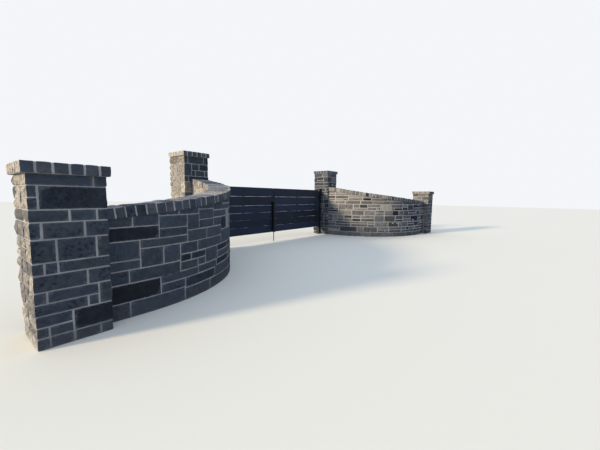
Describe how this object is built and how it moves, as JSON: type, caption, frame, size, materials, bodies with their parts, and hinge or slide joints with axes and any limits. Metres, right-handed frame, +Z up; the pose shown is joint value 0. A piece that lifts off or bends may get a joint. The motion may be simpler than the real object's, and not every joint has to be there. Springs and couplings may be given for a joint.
{
  "type": "garden entrance wall with gate",
  "caption": "Entrance wall of squared stone: curved, rising wing walls between square capped piers, with a double-leaf boarded gate.",
  "frame": {"origin": "on the ground, under the middle of the whole entrance", "axes": "+X along the gate line, +Y from the road into the yard, +Z up"},
  "size_m": [12.774, 3.517, 2.44],
  "materials": {
    "stone": "split face",
    "cap_stone": "split face",
    "steel": "satin",
    "boards": "dark stain"
  },
  "bodies": {
    "masonry_and_posts": {"left_outer_pier": "stone", "left_gate_pier": "stone", "left_outer_pier_cap": "cap_stone", "left_gate_pier_cap": "cap_stone", "left_wall_bay_1": "stone", "left_coping_bay_1": "cap_stone", "left_wall_bay_2": "stone", "left_coping_bay_2": "cap_stone", "left_wall_bay_3": "stone", "left_coping_bay_3": "cap_stone", "left_wall_bay_4": "stone", "left_coping_bay_4": "cap_stone", "left_gate_post": "steel", "left_hinge_pins": "steel", "right_outer_pier": "stone", "right_gate_pier": "stone", "right_outer_pier_cap": "cap_stone", "right_gate_pier_cap": "cap_stone", "right_wall_bay_1": "stone", "right_coping_bay_1": "cap_stone", "right_wall_bay_2": "stone", "right_coping_bay_2": "cap_stone", "right_wall_bay_3": "stone", "right_coping_bay_3": "cap_stone", "right_wall_bay_4": "stone", "right_coping_bay_4": "cap_stone", "right_gate_post": "steel", "right_hinge_pins": "steel"},
    "left_leaf": {"left_leaf_rails": "steel", "left_leaf_stiles": "steel", "left_leaf_boards": "boards", "left_hinge_eyes": "steel", "drop_bolt_guide": "steel"},
    "right_leaf": {"right_leaf_rails": "steel", "right_leaf_stiles": "steel", "right_leaf_boards": "boards", "right_hinge_eyes": "steel"},
    "bolt": {"drop_bolt": "steel"}
  },
  "joints": [
    {"name": "left_leaf_swing", "type": "hinge", "parent": "masonry_and_posts", "child": "left_leaf", "pos_m": [-2.482, 1.467, 0], "axis": [0, 0, 1], "range_deg": [0, 90]},
    {"name": "right_leaf_swing", "type": "hinge", "parent": "masonry_and_posts", "child": "right_leaf", "pos_m": [2.482, 1.467, 0], "axis": [0, 0, -1], "range_deg": [0, 90]},
    {"name": "drop_bolt_lift", "type": "slide", "parent": "left_leaf", "child": "bolt", "axis": [0, 0, 1], "range_m": [0, 0.15]}
  ]
}
